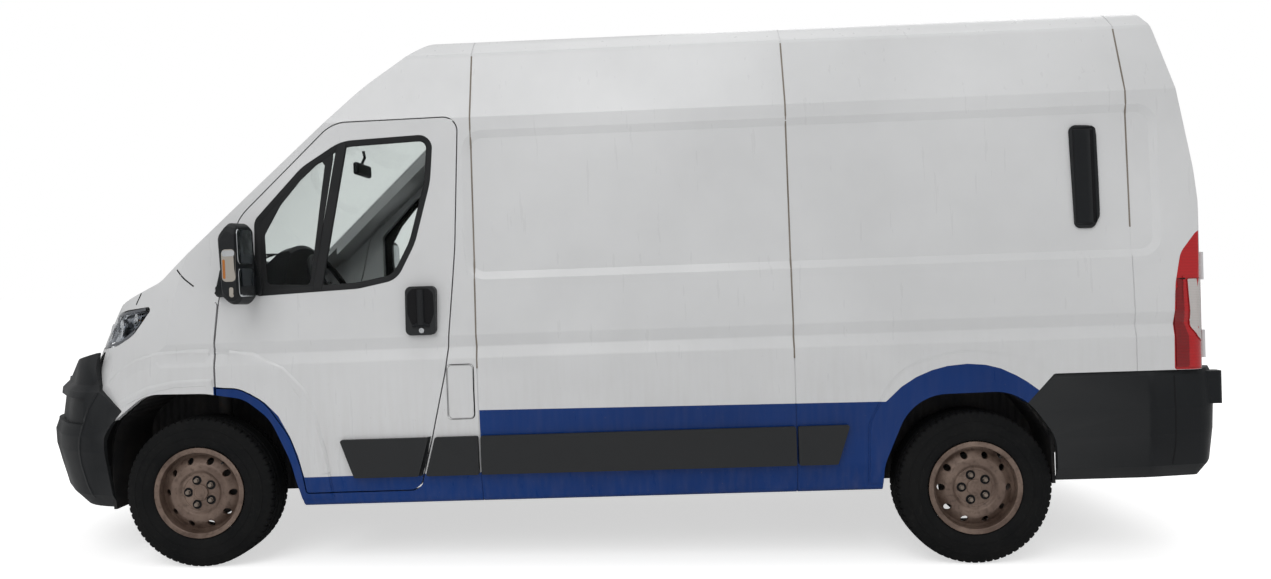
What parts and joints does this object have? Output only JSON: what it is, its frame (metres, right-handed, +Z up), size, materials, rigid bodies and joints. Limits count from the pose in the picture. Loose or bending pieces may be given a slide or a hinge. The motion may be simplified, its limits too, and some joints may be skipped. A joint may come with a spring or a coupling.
{
  "type": "panel van",
  "caption": "High-roof medium-wheelbase panel van with opening cab doors, bonnet and twin rear doors, steered front wheels and a hollow load space.",
  "frame": {"origin": "on the ground, under the middle of the van's length and width", "axes": "+Y to the rear, so the nose points along -Y; +X to the van's own left; +Z up"},
  "size_m": [2.508, 5.4997, 2.5116],
  "materials": {
    "white_paint": "semi-gloss white",
    "glass": "clear, slightly green",
    "lamp_clear": "clear lens",
    "lamp_red": "red lens",
    "black_plastic": "grained black",
    "liner_plastic": "ribbed black",
    "dash_plastic": "grained dark grey",
    "floor_lining": "ribbed grey",
    "seat_fabric": "woven dark grey",
    "chassis_steel": "black underseal",
    "cast_metal": "rough casting",
    "tyre_rubber": "worn black rubber",
    "rim_paint": "brown-silver, dusty"
  },
  "bodies": {
    "van_body": {"rear_frame": "white_paint", "side_mid_left": "white_paint", "side_mid_right": "white_paint", "side_quarter_left": "white_paint", "side_quarter_right": "white_paint", "sliding_door": "white_paint", "pillar_left": "white_paint", "pillar_right": "white_paint", "wing_left": "white_paint", "wing_right": "white_paint", "cab_frame": "white_paint", "roof_cab": "white_paint", "roof_main": "white_paint", "windscreen": "glass", "headlamps": "lamp_clear", "tail_lamps": "lamp_red", "cowl": "black_plastic", "grille": "black_plastic", "front_bumper": "black_plastic", "rear_bumper": "black_plastic", "side_strips": "black_plastic", "side_vent": "black_plastic", "slide_rail": "black_plastic", "arch_liners": "liner_plastic", "dashboard": "dash_plastic", "bulkhead": "dash_plastic", "floor": "floor_lining", "seats": "seat_fabric", "chassis": "chassis_steel", "front_suspension": "chassis_steel", "rear_axle": "chassis_steel", "exhaust": "chassis_steel", "fuel_tank": "chassis_steel", "engine": "cast_metal"},
    "cab_door_left": {"door_left": "white_paint", "door_left_glass": "glass", "door_left_trim": "black_plastic"},
    "cab_door_right": {"door_right": "white_paint", "door_right_glass": "glass", "door_right_trim": "black_plastic"},
    "bonnet_lid": {"bonnet": "white_paint"},
    "rear_door_left": {"tail_door_left": "white_paint"},
    "rear_door_right": {"tail_door_right": "white_paint"},
    "steer_knuckle_left": {"knuckle_left": "cast_metal"},
    "steer_knuckle_right": {"knuckle_right": "cast_metal"},
    "steering_hand_wheel": {"steering_wheel": "black_plastic"},
    "wheel_front_left": {"tyre_front_left": "tyre_rubber", "rim_front_left": "rim_paint"},
    "wheel_front_right": {"tyre_front_right": "tyre_rubber", "rim_front_right": "rim_paint"},
    "wheel_rear_left": {"tyre_rear_left": "tyre_rubber", "rim_rear_left": "rim_paint"},
    "wheel_rear_right": {"tyre_rear_right": "tyre_rubber", "rim_rear_right": "rim_paint"}
  },
  "joints": [
    {"name": "cab_door_left_hinge", "type": "hinge", "parent": "van_body", "child": "cab_door_left", "pos_m": [1.013, -1.67012, 0.90292], "axis": [0, 0.0218, -0.9998], "range_deg": [0, 68]},
    {"name": "cab_door_right_hinge", "type": "hinge", "parent": "van_body", "child": "cab_door_right", "pos_m": [-1.013, -1.67012, 0.90292], "axis": [0, -0.0218, 0.9998], "range_deg": [0, 68]},
    {"name": "bonnet_hinge", "type": "hinge", "parent": "van_body", "child": "bonnet_lid", "pos_m": [0, -2.09356, 1.23976], "axis": [-1, 0, 0], "range_deg": [0, 52]},
    {"name": "rear_door_left_hinge", "type": "hinge", "parent": "van_body", "child": "rear_door_left", "pos_m": [0.95, 2.64431, 1.29713], "axis": [0, 0.0218, -0.9998], "range_deg": [0, 180]},
    {"name": "rear_door_right_hinge", "type": "hinge", "parent": "van_body", "child": "rear_door_right", "pos_m": [-0.95, 2.64431, 1.29713], "axis": [0, -0.0218, 0.9998], "range_deg": [0, 180]},
    {"name": "steer_left", "type": "hinge", "parent": "van_body", "child": "steer_knuckle_left", "pos_m": [0.85, -1.7978, 0.337], "axis": [0, -0.0218, 0.9998], "range_deg": [-30, 30]},
    {"name": "steer_right", "type": "hinge", "parent": "van_body", "child": "steer_knuckle_right", "pos_m": [-0.85, -1.7978, 0.337], "axis": [0, -0.0218, 0.9998], "range_deg": [-30, 30]},
    {"name": "steering_wheel_turn", "type": "hinge", "parent": "van_body", "child": "steering_hand_wheel", "pos_m": [0.48, -1.34706, 1.22504], "axis": [0, 0.8725, 0.4886], "range_deg": [-480, 480]},
    {"name": "spin_front_left", "type": "hinge", "parent": "steer_knuckle_left", "child": "wheel_front_left", "pos_m": [0.905, -1.7978, 0.337], "axis": [1, 0, 0], "continuous": true},
    {"name": "spin_front_right", "type": "hinge", "parent": "steer_knuckle_right", "child": "wheel_front_right", "pos_m": [-0.905, -1.7978, 0.337], "axis": [1, 0, 0], "continuous": true},
    {"name": "spin_rear_left", "type": "hinge", "parent": "van_body", "child": "wheel_rear_left", "pos_m": [0.895, 1.6522, 0.337], "axis": [1, 0, 0], "continuous": true},
    {"name": "spin_rear_right", "type": "hinge", "parent": "van_body", "child": "wheel_rear_right", "pos_m": [-0.895, 1.6522, 0.337], "axis": [1, 0, 0], "continuous": true}
  ],
  "couplings": [
    {"joint": "steer_right", "follows": "steer_left", "ratio": 1},
    {"joint": "steering_wheel_turn", "follows": "steer_left", "ratio": 16}
  ]
}
